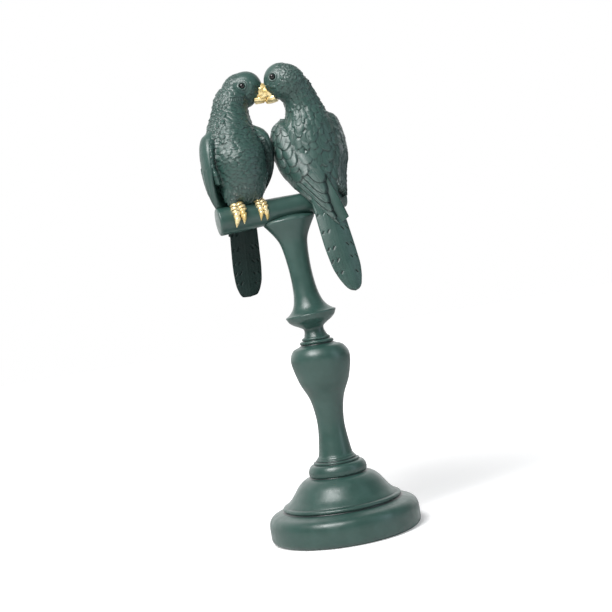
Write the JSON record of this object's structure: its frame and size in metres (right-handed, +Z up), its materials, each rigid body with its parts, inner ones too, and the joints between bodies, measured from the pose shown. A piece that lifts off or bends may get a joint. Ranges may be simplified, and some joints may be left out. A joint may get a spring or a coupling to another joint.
{
  "type": "parrot figurine",
  "caption": "Cast resin ornament: parrots touching beaks on a round perch, carried by a turned stand on a stepped round foot.",
  "frame": {"origin": "centre of the flat underside of the foot", "axes": "+Z up; the perch runs along X with its fuller end towards -X; -Y is the side that the picture shows"},
  "size_m": [0.1329, 0.1214, 0.3819],
  "materials": {
    "green_paint": "satin dark green paint over cast resin, with pale dry highlights on the raised feathers",
    "gold_paint": "gold paint on the beaks and toes",
    "black_gloss": "glossy black paint on the eyes"
  },
  "bodies": {
    "root": {"parrot_figurine": "green_paint"}
  },
  "joints": []
}
